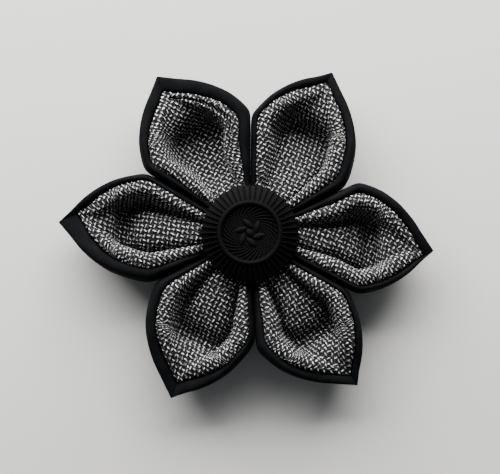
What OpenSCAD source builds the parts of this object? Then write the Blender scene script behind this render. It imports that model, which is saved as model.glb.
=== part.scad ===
// Folded-cloth flower brooch: six black petals, each with a tweed petal folded inside it,
// a moulded button over the sewn roots and a bar pin behind.
// The flower lies on its back on the plane z = 0, with the button's axis on the z axis.

/* [Petals] */
// Distance from the flower's centre to a petal tip whose reach share is 1
petal_reach = 43; // [38:0.5:50]
// Greatest half width of a black petal
petal_half_w = 13.8; // [12:0.2:15]
// Depth of a petal cup from rim to keel, where it is deepest
cup_depth = 12.5; // [10.5:0.5:15]
// Distance from the flower's centre to the sewn roots of the black petals
root_radius = 6.5; // [5.5:0.25:7.5]
// Air left between pieces that touch in the real flower
clearance = 0.3; // [0.25:0.05:0.4]

/* [Cloth] */
// Thickness of the folded black cloth
shell_wall = 1.0; // [0.8:0.1:1.3]
// Thickness of the folded tweed
lining_wall = 1.4; // [1:0.1:1.6]
// Width of black cloth that shows beside the tweed, where its share is 1
rim_show = 2.0; // [1.6:0.1:2.6]
// Length of black cloth that shows past the tweed at a tip, where its share is 1
tip_show = 3.0; // [2.6:0.1:4]
// Height of the tweed's rim above the black rim
lining_rise = 0.3; // [0:0.1:0.8]
// Width of the tweed's rolled lip, where its share is 1
lip_w = 3.6; // [3:0.1:4]

/* [Button] */
// Diameter of the button over its flutes
button_d = 23.2; // [21:0.2:25]
// Height of the button's plain side wall
button_side_h = 1.5; // [1:0.1:2.5]
// Rise of the fluted slope from the side wall to the milled ring
flute_rise = 1.5; // [1:0.1:2]
// Number of flutes round the slope
flutes = 48; // [36:1:60]
// Height of a flute above the slope
flute_h = 0.35; // [0.2:0.05:0.5]
// Diameter of the milled ring at the middle of its wire
ring_d = 14.8; // [13.5:0.1:16]
// Thickness of the milled ring
ring_t = 1.0; // [0.8:0.1:1.4]
// Depth of the medallion below the top of the milled ring
medallion_drop = 0.8; // [0.5:0.1:1.2]
// Number of curved ridges on the medallion
ridges = 30; // [24:1:34]
// Width of a ridge
ridge_w = 0.42; // [0.3:0.02:0.5]
// Height of a ridge above the medallion
ridge_h = 0.25; // [0.15:0.05:0.4]
// Number of leaves in the star at the middle
leaves = 6; // [5:1:7]
// Length of a leaf of the star
leaf_len = 2.9; // [2.4:0.1:3.2]
// Width of a leaf of the star
leaf_w = 1.1; // [0.8:0.05:1.3]
// Height of a leaf above the medallion
leaf_h = 0.55; // [0.4:0.05:0.7]
// Diameter of the shank under the button
shank_d = 6.0; // [4:0.5:8]

/* [Bar pin] */
// Diameter of the round pad that the petal roots are fixed to
pad_d = 17; // [14:0.5:17]
// Thickness of the pad
pad_t = 0.8; // [0.6:0.1:1.2]
// How deep the bar is let into the pad
pad_seat = 0.2; // [0.1:0.05:0.3]
// Length of the bar
bar_len = 26; // [22:1:30]
// Width of the bar
bar_w = 5; // [4:0.5:6]
// Thickness of the bar
bar_t = 0.8; // [0.6:0.1:1.2]
// Diameter of the pin stem
stem_d = 0.9; // [0.7:0.1:1.2]
// Room for cloth between the stem and the bar
cloth_room = 1.9; // [1.5:0.1:2.5]
// Diameter of the hinge knuckle and of the catch
knuckle_d = 2.8; // [2.4:0.1:3.2]
// Length of the hinge knuckle and of the catch along the bar
catch_len = 3.0; // [2.5:0.25:4]
// Length of the stem that stands out past the catch, without its point
stem_free = 3.0; // [2:0.25:4]
// Height of the catch above the table
foot_gap = 0.3; // [0.2:0.1:0.6]

/* [Hidden] */
$fn = 48;

// One row for each petal, counter-clockwise from the right: the angle of the seam where it
// starts, the angle of its tip, its reach as a share of petal_reach, its left and right half
// widths as shares of petal_half_w, the black that shows beside its tweed and the tweed's swing
// to the left as shares of rim_show, the black that shows at the tip as a share of tip_show, how
// far out its hollow lies beyond the usual place, and how much its tongue leans to the left
SEAM = 0;
TIP = 1;
REACH = 2;
WIDE_LEFT = 3;
WIDE_RIGHT = 4;
SHOW = 5;
SWING = 6;
TIP_SHOW = 7;
FARTHER = 8;
LEANS = 9;
PETALS = [
    [-29.0,  -4.9, 1.002, 1.00, 1.00, 0.87, -0.30, 0.70, -0.010, -0.10],
    [ 26.3,  63.3, 0.990, 1.03, 0.95, 0.90,  0.30, 0.90, -0.020, -0.12],
    [ 89.5, 120.2, 0.990, 1.07, 1.03, 1.20,  0.30, 1.15,  0.000, -0.14],
    [148.6, 176.1, 1.022, 0.90, 0.99, 1.15, -0.50, 1.50,  0.025,  0.08],
    [206.0, 244.3, 0.970, 1.00, 0.97, 0.87,  0.25, 1.25, -0.030,  0.10],
    [273.1, 305.5, 0.985, 0.92, 0.96, 0.80,  0.18, 0.87, -0.030,  0.12],
];

// One row for each section of a petal from root to tip: its place along the petal, the share of
// petal_half_w, the share of the root's height, the rise of the keel and the depth of the cup as
// shares of cup_depth, and the turn of the rim in degrees from the keel
ALONG = 0;
OUTLINE = 1;
LIFT = 2;
RISE = 3;
DEPTH = 4;
CURL = 5;
SECTIONS = [
    [0.00, 1.000, 1.00, 0.00, 0.38, 112],
    [0.08, 1.000, 1.00, 0.00, 0.41, 112],
    [0.16, 1.000, 0.86, 0.00, 0.52, 112],
    [0.26, 1.000, 0.57, 0.00, 0.69, 111],
    [0.36, 1.000, 0.28, 0.00, 0.85, 110],
    [0.46, 0.985, 0.08, 0.00, 0.96, 108],
    [0.56, 0.930, 0.00, 0.00, 1.00, 106],
    [0.66, 0.840, 0.00, 0.02, 0.97, 104],
    [0.76, 0.680, 0.00, 0.10, 0.85, 102],
    [0.85, 0.470, 0.00, 0.25, 0.64, 100],
    [0.93, 0.215, 0.00, 0.48, 0.34,  98],
    [1.00, 0.000, 0.00, 0.76, 0.00,  96],
];
LAST = len(SECTIONS) - 1;

// One row for each section of the tweed's face from root to tip: its place along the petal, the
// heights of the tongue and of the crease beside it as shares of cup_depth, the crease's place
// as a share of the way to the lip's foot, and the lip's width as a share of lip_w
TONGUE = 1;
CREASE = 2;
FOLD = 3;
ROLL = 4;
FACE = [
    [0.08, 0.86, 0.74, 0.90, 0.44],
    [0.16, 0.87, 0.70, 0.90, 0.48],
    [0.26, 0.84, 0.60, 0.88, 0.66],
    [0.36, 0.79, 0.50, 0.86, 0.84],
    [0.46, 0.73, 0.41, 0.84, 1.00],
    [0.56, 0.61, 0.35, 0.82, 1.00],
    [0.62, 0.47, 0.32, 0.80, 1.00],
    [0.66, 0.36, 0.32, 0.78, 1.00],
    [0.70, 0.38, 0.36, 0.75, 1.00],
    [0.74, 0.68, 0.66, 0.69, 1.00],
    [0.80, 0.83, 0.82, 0.60, 1.00],
    [0.86, 0.85, 0.84, 0.50, 0.96],
    [0.93, 0.83, 0.82, 0.50, 0.82],
    [1.00, 0.79, 0.79, 0.50, 0.60],
];
// Across the face, from the tongue's back to the outside of the lip: shares of the way to the
// crease with the fall so far, of the way on to the lip's foot with the rise so far, and of the
// lip's width with the rise so far
TONGUE_CURVE = [[0, 0], [0.5, 0.09], [0.84, 0.45]];
WALL_CURVE = [[0, 0], [0.5, 0.25], [1, 0.7]];
LIP_CURVE = [[0.2, 0.92], [0.5, 1], [0.85, 0.97]];
// Place of the crease among those points
CREASE_AT = len(TONGUE_CURVE);
// Height of a lip's crest above the cup's rim, as a share of the lip's width
CREST = 0.2;
// The most that a lip takes of its side of a petal, and the most of the rest that the tongue takes
LIP_MOST = 0.62;
FOLD_MOST = 0.95;

// How sharply a petal's side turns away from its seam
SEAM_SHARPNESS = 16;
// How sharply a petal's middle line bends at its tip
TIP_BEND = 4;
// Length that a tip loses for each millimetre that a cup's wall is set in
TIP_SET = 1.3;
// How far a tip swings to a side for each millimetre that its sides do, and the length it loses
TIP_SWAY = 1.5;
SWAY_SET = 1.25;
// How far a rim's fold stands above its two faces, as a share of the wall
CROWN = 0.4;
// Spaces between the points across a petal, from one rim to the other
ACROSS = 2 * (len(TONGUE_CURVE) + len(WALL_CURVE) + len(LIP_CURVE) - 1);

// Heights from the table up: the pin, then the petal roots, then the button
stem_z = foot_gap + knuckle_d / 2;
bar_z = stem_z + stem_d / 2 + cloth_room;
pad_z = bar_z + bar_t - pad_seat;
root_z = pad_z + pad_t + clearance;
button_z = lips_z(button_d / 2) + lining_rise + CREST * lip_w * FACE[1][ROLL] + clearance;
slope_z = button_z + button_side_h;
ring_z = slope_z + flute_rise;

// The button's radii, from the edge inwards
core_r = button_d / 2 - flute_h;
ring_r = ring_d / 2;
medallion_r = ring_r - ring_t / 2;
medallion_z = ring_z + ring_t / 2 - medallion_drop;
// Round-over of the button's lower edge
edge_round = 0.5;
// Share of its pitch that a flute fills
FLUTE_SHARE = 0.6;
// Each ridge is an arc: shares of the medallion's radius, and the angles where it runs
RIDGE_ARC = 0.76;
RIDGE_CENTRE = 0.46;
RIDGE_FROM = 72;
RIDGE_TO = 143;
// Places of the star's leaves: share of the medallion's radius, and turns in degrees
LEAF_AT = 0.33;
STAR_TURN = 42;
LEAF_LEAN = 35;
HEART_TURN = -50;
HEART_SIZE = 0.75;

// The bar lies under the two seams that face each other across the flower
bar_turn = (PETALS[2][SEAM] + PETALS[5][SEAM] - 180) / 2;
// Width of the posts that carry the hinge and the catch
post_w = 1.6;
// Length of the stem's point
point_len = 1.5;

// Along a petal: a wall is set in sideways until near the tip, and backwards towards it
function fade(along) = 1 - pow(along, 6);
function draw_back(along) = pow(along, 2);
// The tweed swings to a side only near its tip
function sway(along) = pow(along, 6);
// The black that shows beside the tweed widens from the button outwards
GROW_FROM = 0.1;
GROW_OVER = 0.35;
function grow(along) =
    let (t = min(1, max(0, (along - GROW_FROM) / GROW_OVER))) t * t * (3 - 2 * t);

// Height of the petals' rims at distance x from the centre, on the shortest petal
function lips_z(x) =
    let (shortest = min([for (i = [0 : len(PETALS) - 1]) reach(i)]))
    lookup((x - root_radius) / (shortest - root_radius),
           [for (row = SECTIONS) [row[ALONG], rim_z(row)]]);

function seam_after(i) = i + 1 < len(PETALS) ? PETALS[i + 1][SEAM] : PETALS[0][SEAM] + 360;
function middle_angle(i) = (PETALS[i][SEAM] + seam_after(i)) / 2;
function half_angle(i) = (seam_after(i) - PETALS[i][SEAM]) / 2;
function reach(i) = petal_reach * PETALS[i][REACH];

// Half width of one side of petal i at distance x from the centre: to its seam, then free
function half_width(i, x, row, wide) =
    let (room = x * tan(half_angle(i)) - clearance / (2 * cos(half_angle(i))),
         free = petal_half_w * wide * row[OUTLINE])
    pow(pow(room, -SEAM_SHARPNESS) + pow(free, -SEAM_SHARPNESS), -1 / SEAM_SHARPNESS);

// Sideways place of petal i's middle line at distance x, which bends towards its tip
function middle_line(i, x) =
    reach(i) * tan(PETALS[i][TIP] - middle_angle(i))
        * pow(max(0, (x - root_radius) / (reach(i) - root_radius)), TIP_BEND);

function keel_z(row) = root_z * row[LIFT] + cup_depth * row[RISE];
function rim_z(row) = keel_z(row) + cup_depth * row[DEPTH];

// How far a surface lies inside the black petal's outer face: left, right, at the keel, at the
// tip, above the rim, and how far its tip swings to the left
LEFT = 0;
RIGHT = 1;
KEEL = 2;
END = 3;
ABOVE = 4;
LEAN = 5;
function shell_inset(depth) = [depth, depth, depth, TIP_SET * depth, 0, 0];
function lining_inset(i, along, depth) =
    let (bare = shell_wall + clearance,
         show = rim_show * PETALS[i][SHOW],
         swing = rim_show * PETALS[i][SWING],
         share = grow(along))
    [bare + max(0, show - swing - bare) * share + depth,
     bare + max(0, show + swing - bare) * share + depth,
     bare + depth,
     max(tip_show * PETALS[i][TIP_SHOW], TIP_SET * bare + SWAY_SET * abs(swing))
         + TIP_SET * depth,
     lining_rise,
     TIP_SWAY * swing];

// Distance of a section from the flower's centre
function way_out(i, along, inset) =
    root_radius + along * (reach(i) - root_radius) - inset[END] * draw_back(along);

// Half width of the cup on one side of a section, and the cup's height at a turn from the keel
function cup_half(i, row, left, inset) =
    half_width(i, way_out(i, row[ALONG], inset), row, PETALS[i][left ? WIDE_LEFT : WIDE_RIGHT])
        - fade(row[ALONG]) * (left ? inset[LEFT] : inset[RIGHT]);
function cup_z(row, turn, inset) =
    let (low = keel_z(row) + inset[KEEL] * fade(row[ALONG]),
         high = rim_z(row) + inset[ABOVE])
    low + (high - low) * (1 - cos(turn)) / (1 - cos(row[CURL]));

// A point of a section, so far beside the middle line and so high
function place(i, row, beside, z, inset) =
    let (x = way_out(i, row[ALONG], inset))
    [x, middle_line(i, x) + inset[LEAN] * sway(row[ALONG]) + beside, z];

// A point of petal i's cup on a section, turned from the keel towards the left rim
function cup_point(i, row, turn, inset) =
    place(i, row, cup_half(i, row, turn > 0, inset) * sin(turn), cup_z(row, turn, inset),
          inset);

function tip_point(i, inset) =
    [reach(i) - inset[END],
     middle_line(i, reach(i) - inset[END]) + inset[LEAN],
     rim_z(SECTIONS[LAST]) + inset[ABOVE]];

function turns(row) = [for (j = [0 : ACROSS]) row[CURL] * (2 * j / ACROSS - 1)];

// The two faces of the black petal's cloth
function shell_face(i, row, depth) =
    [for (turn = turns(row)) cup_point(i, row, turn, shell_inset(depth))];

// The values of a table at a place between its rows
function row_at(table, along) =
    [for (column = [ALONG : len(table[0]) - 1])
        lookup(along, [for (row = table) [row[ALONG], row[column]]])];

// The tweed's face at a place along petal i, with its hollow moved outwards
function face_at(i, along) = row_at(FACE, along - PETALS[i][FARTHER] * pow(sin(180 * along), 2));

// Places beside the middle line, and heights, that the tweed's face passes through on one side
// of a section, from the tongue's back to the outside of the lip
function face_side(i, face, row, left) =
    let (inset = lining_inset(i, row[ALONG], 0),
         edge = cup_half(i, row, left, inset) * sin(row[CURL]),
         lip = min(lip_w * face[ROLL], LIP_MOST * edge),
         foot = edge - lip,
         fold = foot * min(FOLD_MOST, face[FOLD] * (1 + PETALS[i][LEANS] * (left ? 1 : -1))),
         tongue = cup_depth * face[TONGUE],
         crease = cup_depth * face[CREASE],
         rise = rim_z(row) + inset[ABOVE] + CREST * lip - crease)
    concat([for (p = TONGUE_CURVE) [p[0] * fold, tongue - p[1] * (tongue - crease)]],
           [for (p = WALL_CURVE) [fold + p[0] * (foot - fold), crease + p[1] * rise]],
           [for (p = LIP_CURVE) [foot + p[0] * lip, crease + p[1] * rise]]);

// The face of the tweed that shows
function lining_front(i, face, row) =
    let (inset = lining_inset(i, row[ALONG], 0),
         right = face_side(i, face, row, false),
         left = face_side(i, face, row, true))
    concat([for (k = [len(right) - 1 : -1 : 1]) place(i, row, -right[k][0], right[k][1], inset)],
           [for (p = left) place(i, row, p[0], p[1], inset)]);

// The face behind: it lies in the black cup, and rises behind the tongue
function lining_back(i, face, row) =
    let (inset = lining_inset(i, row[ALONG], 0))
    [for (turn = turns(row))
        let (beside = cup_half(i, row, turn > 0, inset) * sin(turn),
             side = face_side(i, face, row, turn > 0),
             crease_y = side[CREASE_AT][0],
             under = lookup(min(abs(beside) + lining_wall / 2, crease_y), side) - lining_wall,
             cup = cup_z(row, turn, inset))
        place(i, row, beside, abs(beside) < crease_y && abs(turn) < 90 ? max(cup, under) : cup,
              inset)];

function crown(a, b) = (a + b) / 2 + [0, 0, norm(a - b) * CROWN];

// A cup of folded cloth: outer and inner faces as lists of sections from root to tip, and the
// points where both faces end. Each section closes over its two rims with a crown point.
module cloth_cup(outer, inner, outer_tip, inner_tip) {
    rows = len(outer);
    n = len(outer[0]);
    ring = 2 * n + 2;
    points = [
        for (k = [0 : rows - 1])
            each concat(outer[k], [crown(outer[k][n - 1], inner[k][n - 1])],
                        [for (j = [n - 1 : -1 : 0]) inner[k][j]],
                        [crown(outer[k][0], inner[k][0])]),
        outer_tip,
        crown(outer_tip, inner_tip),
        inner_tip
    ];
    outer_end = rows * ring;
    crown_end = outer_end + 1;
    inner_end = outer_end + 2;
    last = (rows - 1) * ring;
    sides = [for (k = [0 : rows - 2], j = [0 : ring - 1])
        let (a = k * ring + j, b = k * ring + (j + 1) % ring)
        each [[a, a + ring, b + ring], [a, b + ring, b]]];
    root = [
        [0, 2 * n, 2 * n + 1],
        [n - 1, n, n + 1],
        for (j = [0 : n - 2]) each [[j, 2 * n - j - 1, 2 * n - j], [j, j + 1, 2 * n - j - 1]]
    ];
    tip = [
        for (j = [0 : n - 2]) [last + j, outer_end, last + j + 1],
        for (j = [0 : n - 2]) [last + n + 1 + j, inner_end, last + n + 2 + j],
        [last + n - 1, outer_end, crown_end], [last + n - 1, crown_end, last + n],
        [last + n, crown_end, inner_end], [last + n, inner_end, last + n + 1],
        [last + 2 * n, inner_end, crown_end], [last + 2 * n, crown_end, last + 2 * n + 1],
        [last + 2 * n + 1, crown_end, outer_end], [last + 2 * n + 1, outer_end, last]
    ];
    polyhedron(points = points, faces = concat(sides, root, tip), convexity = 8);
}

module black_petal(i) {
    rows = [for (k = [0 : LAST - 1]) SECTIONS[k]];
    color([0.07, 0.08, 0.10])
    rotate([0, 0, middle_angle(i)])
        cloth_cup([for (row = rows) shell_face(i, row, 0)],
                  [for (row = rows) shell_face(i, row, shell_wall)],
                  tip_point(i, shell_inset(0)),
                  tip_point(i, shell_inset(shell_wall)));
}

module tweed_petal(i) {
    stations = [for (k = [0 : len(FACE) - 2]) FACE[k][ALONG]];
    color([0.55, 0.55, 0.54])
    rotate([0, 0, middle_angle(i)])
        cloth_cup([for (s = stations) lining_back(i, face_at(i, s), row_at(SECTIONS, s))],
                  [for (s = stations) lining_front(i, face_at(i, s), row_at(SECTIONS, s))],
                  tip_point(i, lining_inset(i, 1, 0)),
                  tip_point(i, lining_inset(i, 1, lining_wall / 2)));
}

// A fold of the button's slope, from the milled ring out over the edge
module flute() {
    rotate_extrude(angle = FLUTE_SHARE * 360 / flutes)
        polygon([[ring_r, slope_z], [ring_r, ring_z + flute_h], [core_r, slope_z + flute_h],
                 [button_d / 2, slope_z], [button_d / 2, button_z + edge_round],
                 [medallion_r, button_z + edge_round], [medallion_r, slope_z]]);
}

module ridge() {
    translate([RIDGE_CENTRE * medallion_r, 0, medallion_z - ridge_h])
        rotate([0, 0, RIDGE_FROM])
            rotate_extrude(angle = RIDGE_TO - RIDGE_FROM)
                translate([RIDGE_ARC * medallion_r - ridge_w / 2, 0])
                    square([ridge_w, 2 * ridge_h]);
}

// A pointed leaf between two arcs, centred on the origin and lying along x
module leaf(length, width, height) {
    arc_r = (pow(length, 2) + pow(width, 2)) / (4 * width);
    linear_extrude(height = height)
        intersection() {
            translate([0, arc_r - width / 2]) circle(r = arc_r);
            translate([0, width / 2 - arc_r]) circle(r = arc_r);
        }
}

module star() {
    for (i = [0 : leaves - 1])
        rotate([0, 0, STAR_TURN + 360 * i / leaves])
            translate([LEAF_AT * medallion_r, 0, 0])
                rotate([0, 0, LEAF_LEAN]) leaf(leaf_len, leaf_w, 2 * leaf_h);
    rotate([0, 0, HEART_TURN]) leaf(HEART_SIZE * leaf_len, leaf_w, 2 * leaf_h);
}

// The moulded button: its body of one turned profile with a shank, flutes down the slope, a
// milled ring, and a sunk medallion with curved ridges round a star of leaves
module button() {
    color([0.06, 0.06, 0.07]) {
        rotate_extrude()
            polygon([[0, root_z], [shank_d / 2, root_z], [shank_d / 2, button_z],
                     [core_r - edge_round, button_z], [core_r, button_z + edge_round],
                     [core_r, slope_z], [ring_r, ring_z], [medallion_r, ring_z],
                     [medallion_r, medallion_z], [0, medallion_z]]);
        rotate_extrude() translate([ring_r, ring_z]) circle(d = ring_t);
        for (i = [0 : flutes - 1]) rotate([0, 0, 360 * i / flutes]) flute();
        for (i = [0 : ridges - 1]) rotate([0, 0, 360 * i / ridges]) ridge();
        translate([0, 0, medallion_z - leaf_h]) star();
    }
}

module post(x) {
    translate([x - post_w / 2, -catch_len / 2, stem_z])
        cube([post_w, catch_len, bar_z + bar_t / 2 - stem_z]);
}

// The bar pin with its pad: one plain piece, with the stem closed in its catch
module bar_pin() {
    hinge_x = -bar_len / 2 + knuckle_d / 2;
    catch_x = bar_len / 2 - catch_len / 2;
    stem_end = bar_len / 2 + stem_free;
    color([0.72, 0.73, 0.75]) {
        translate([0, 0, pad_z]) cylinder(d = pad_d, h = pad_t);
        rotate([0, 0, bar_turn]) {
            translate([0, 0, bar_z])
                linear_extrude(height = bar_t)
                    union() {
                        square([bar_len - bar_w, bar_w], center = true);
                        for (side = [-1, 1])
                            translate([side * (bar_len - bar_w) / 2, 0]) circle(d = bar_w);
                    }
            post(hinge_x);
            post(catch_x);
            translate([hinge_x, catch_len / 2, stem_z])
                rotate([90, 0, 0]) cylinder(d = knuckle_d, h = catch_len);
            translate([catch_x - catch_len / 2, 0, stem_z])
                rotate([0, 90, 0]) cylinder(d = knuckle_d, h = catch_len);
            translate([hinge_x, 0, stem_z])
                rotate([0, 90, 0]) cylinder(d = stem_d, h = stem_end - hinge_x);
            translate([stem_end, 0, stem_z])
                rotate([0, 90, 0]) cylinder(d1 = stem_d, d2 = stem_d / 4, h = point_len);
        }
    }
}

black_petal(0);  // black_petal_1
black_petal(1);  // black_petal_2
black_petal(2);  // black_petal_3
black_petal(3);  // black_petal_4
black_petal(4);  // black_petal_5
black_petal(5);  // black_petal_6
tweed_petal(0);  // tweed_petal_1
tweed_petal(1);  // tweed_petal_2
tweed_petal(2);  // tweed_petal_3
tweed_petal(3);  // tweed_petal_4
tweed_petal(4);  // tweed_petal_5
tweed_petal(5);  // tweed_petal_6
button();
bar_pin();
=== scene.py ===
"""Looks of a lapel pin: six black cloth petals, each with a tweed petal folded inside it, a
moulded button over their roots, and the metal bar pin behind."""

import math

import bmesh
import bpy
import numpy as np
from bpy.props import FloatProperty, FloatVectorProperty, IntProperty, PointerProperty
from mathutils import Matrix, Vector
from mathutils.geometry import tessellate_polygon


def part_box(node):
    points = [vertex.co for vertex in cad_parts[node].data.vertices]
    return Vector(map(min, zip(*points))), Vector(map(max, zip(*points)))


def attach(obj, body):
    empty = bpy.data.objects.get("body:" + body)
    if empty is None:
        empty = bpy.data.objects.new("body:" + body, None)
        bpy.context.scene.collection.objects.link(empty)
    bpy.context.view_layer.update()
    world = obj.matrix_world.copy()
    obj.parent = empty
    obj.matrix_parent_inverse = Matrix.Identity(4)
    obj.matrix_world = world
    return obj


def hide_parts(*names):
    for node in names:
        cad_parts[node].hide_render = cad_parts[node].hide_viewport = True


bl_info = {
    "name": "Folded Cloth Flower Pin",
    "version": (1, 0, 0),
    "blender": (4, 5, 0),
    "location": "View3D > Sidebar > Flower Pin",
    "description": "Builds a flower lapel pin of folded black cloth and tweed",
    "category": "Add Mesh",
}

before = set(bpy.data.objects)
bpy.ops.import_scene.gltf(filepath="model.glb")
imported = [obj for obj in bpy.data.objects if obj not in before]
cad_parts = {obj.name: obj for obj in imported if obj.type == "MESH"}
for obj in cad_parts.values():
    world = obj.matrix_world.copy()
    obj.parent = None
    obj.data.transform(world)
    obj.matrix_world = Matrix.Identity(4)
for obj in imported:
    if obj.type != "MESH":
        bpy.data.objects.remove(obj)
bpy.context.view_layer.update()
ROOT_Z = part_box("button")[0].z
BUTTON_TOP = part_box("button")[1].z
MM = 0.001

# One row for each petal, counter-clockwise from the right: the angle of the seam where it
# starts, the angle of its tip, its reach, its left and right half widths, the black that shows
# beside its tweed, the tweed's swing to the left, its tip's further sway, the black that shows
# past its tip, how far out its hollow lies beyond the usual place, how much its tongue leans to
# the left, how far its tongue sinks, how strongly its right lip is stepped, and the angle
# between its yarns and its middle line. The angles are in degrees, and the others are shares of
# the sizes below.
(SEAM, TIP, REACH, WIDE_LEFT, WIDE_RIGHT, SHOW, SWING, SWAY, TIP_SHOW, FARTHER, LEANS, SINKS,
 STEP, GRAIN) = range(14)
PETALS = [
    [-29.0, -4.9, 1.004, 1.00, 1.00, 0.87, -0.30, -0.85, 0.66, -0.055, -0.10, 0.00, 0, -17],
    [26.3, 63.3, 1.003, 1.09, 0.95, 0.90, 0.30, 0.45, 0.95, -0.050, -0.12, 0.22, 0, 9],
    [89.5, 120.2, 1.015, 1.07, 1.10, 1.20, 0.30, 0.45, 1.30, -0.080, -0.18, 0.50, 1, 34],
    [148.6, 176.1, 1.046, 0.90, 0.99, 0.92, -0.42, -1.50, 1.42, -0.020, 0.08, -0.03, 0, -6],
    [206.0, 244.3, 0.980, 1.00, 0.97, 0.87, 0.25, 0.38, 1.30, -0.070, 0.10, -0.03, 0, 5],
    [273.1, 305.5, 1.002, 0.92, 0.96, 0.80, 0.18, 0.27, 0.95, -0.070, 0.12, -0.02, 0, 4],
]

# One row for each section of a petal from root to tip: its place along the petal, shares of the
# half width and of the root's height, the keel's rise and the cup's depth as shares of the cup's
# depth, and the rim's turn in degrees from the keel.
ALONG, OUTLINE, LIFT, RISE, DEPTH, CURL = range(6)
SECTIONS = np.array([
    [0.00, 1.000, 1.00, 0.00, 0.38, 112],
    [0.08, 1.000, 1.00, 0.00, 0.41, 112],
    [0.16, 1.000, 0.86, 0.00, 0.52, 112],
    [0.26, 1.000, 0.57, 0.00, 0.69, 111],
    [0.36, 1.000, 0.28, 0.00, 0.85, 110],
    [0.46, 0.985, 0.08, 0.00, 0.96, 108],
    [0.56, 0.930, 0.00, 0.00, 1.00, 106],
    [0.66, 0.840, 0.00, 0.02, 0.97, 104],
    [0.76, 0.680, 0.00, 0.10, 0.85, 102],
    [0.85, 0.470, 0.00, 0.25, 0.64, 100],
    [0.93, 0.215, 0.00, 0.48, 0.34, 98],
    [1.00, 0.000, 0.00, 0.76, 0.00, 96],
])

# One row for each section of the tweed's face: its place along the petal, the heights of the
# tongue and of the crease beside it as shares of the cup's depth, the crease's place as a share
# of the way to the lip's foot, and the lip's width as a share of its full width.
TONGUE, CREASE, FOLD, ROLL = range(1, 5)
FACE = np.array([
    [0.08, 0.86, 0.74, 0.90, 0.44],
    [0.16, 0.87, 0.70, 0.90, 0.48],
    [0.26, 0.84, 0.60, 0.88, 0.66],
    [0.36, 0.79, 0.50, 0.86, 0.84],
    [0.46, 0.73, 0.41, 0.84, 1.00],
    [0.56, 0.61, 0.35, 0.82, 1.00],
    [0.62, 0.47, 0.32, 0.80, 1.00],
    [0.66, 0.36, 0.32, 0.78, 1.00],
    [0.70, 0.38, 0.36, 0.75, 1.00],
    [0.74, 0.68, 0.66, 0.69, 1.00],
    [0.80, 0.83, 0.82, 0.60, 1.00],
    [0.86, 0.85, 0.84, 0.50, 0.96],
    [0.93, 0.83, 0.82, 0.50, 0.82],
    [1.00, 0.79, 0.79, 0.50, 0.60],
])
# Across the face, from the tongue's back to the outside of the lip: shares of the way to the
# crease with the fall so far, of the way on to the lip's foot with the rise so far, and of the
# lip's width with the rise so far.
TONGUE_CURVE = [[0, 0], [0.5, 0.09], [0.84, 0.45]]
WALL_CURVE = [[0, 0], [0.5, 0.25], [1, 0.7]]
LIP_CURVE = [[0.2, 0.92], [0.5, 1], [0.85, 0.97]]
CREASE_AT = len(TONGUE_CURVE)
# The lip's crown as a share of its width, the most of the half width that a lip takes, and the
# most of the way to its foot at which the crease may lie.
CREST, LIP_MOST, FOLD_MOST = 0.2, 0.62, 0.95
# Where along the petal a tongue sinks most, over how much of it, how far the creases sink with
# it, and how high they stay above the ply below.
SINK_AT, SINK_WIDE, CREASE_SINKS, CREASE_BED = 0.42, 0.25, 0.6, 0.0014
# How sharply a petal's seam turns into its free side, and the half turn round the keel over which
# its left width takes over from its right.
SEAM_SHARPNESS, SIDES_MEET = 30, 0.25
# Powers of the way out by which a petal bends to its tip, its tweed's tip sways and its walls'
# thickness is lost in the tip.
TIP_BEND, SWAY_BEND, WALL_FADE = 4, 8, 6
# How far a wall sets back at the tip for its depth at the sides, and for its swing.
TIP_SET, SWAY_SET = 1.3, 1.25
# Where the black beside the tweed starts to widen, and over how much of the petal.
GROW_FROM, GROW_OVER = 0.1, 0.35
# The step in a lip: where along the petal it comes in and runs out, its place in from the lip's
# outside, and its half width.
STEP_FROM, STEP_TO, STEP_IN, STEP_WIDE = (0.25, 0.4), (0.86, 0.96), 0.0021, 0.00045
# How far up the cup's sides the ply behind rises under the tongue.
BACK_RISES = 0.7
# The round fold at the rim: its height, the share of it lost at the tip, and the power of that.
RIM_HIGH, RIM_LOSES, RIM_FADE = 0.0008, 0.7, 6
# The seam behind and the slit between the plies, as shares of the way across and of the wall.
SEAM_AT, SEAM_DEEP, SEAM_TUCK, SLIT, SLIT_END = 0.012, 0.25, 0.6, 0.035, 0.93
# The flat places by which the cloth's ends are closed: their width for a wall of 1, and how far
# the rims stand out of it.
CAP_WIDE, CAP_BULGE = 10, 0.1
# How finely the cloths are drawn: rows along the petal, where the last one lies, and the columns
# of the face, of each half of the back and of each rim.
BLACK_ROWS, BLACK_END, BLACK_COLUMNS = 90, 0.998, (61, 36, 9)
TWEED_ROWS, TWEED_END, TWEED_COLUMNS = 188, 0.99, (193, 22, 0)
# How much the rows crowd towards the tip, the points by which each half of a face's section is
# measured, and the least half width and the least normal that are worked with.
ROWS_CROWD, CURVE_STEPS, LEAST_HALF, LEAST_NORMAL = 0.25, 180, 1e-6, 1e-15
# Soft irregularity: how many waves, the shortest as a share of the longest, the angle up to which
# they are shifted, and the sum of waves that counts as their full height.
WAVES, SHORTEST_WAVE, WAVE_SHIFT, WAVE_SUM = 7, 0.35, 6.28, 4
# The waves of each cloth: a seed, and the longest one. Those of the tweed have their height too.
BLACK_WAVES, TWEED_WAVES = (100, 0.014), (200, 0.00016, 0.011)
DRIFT_OUT, DRIFT_ROUND = (300, 0.00016, 0.009), (400, 0.00016, 0.009)
# How far a yarn falls towards its ends and towards its sides, and the powers of that.
YARN_ENDS, YARN_SIDES = (0.9, 2.5), (0.6, 3)
# The angles from which an edge is shaded as a sharp one.
CLOTH_SHARP, MOULDED_SHARP = math.radians(75), math.radians(50)


def length(name, description, default, soft_max=0.1):
    """A size in metres for the sidebar."""
    return FloatProperty(name=name, description=description, default=default, min=0.0,
                         soft_max=soft_max, precision=5, unit="LENGTH")


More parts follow.
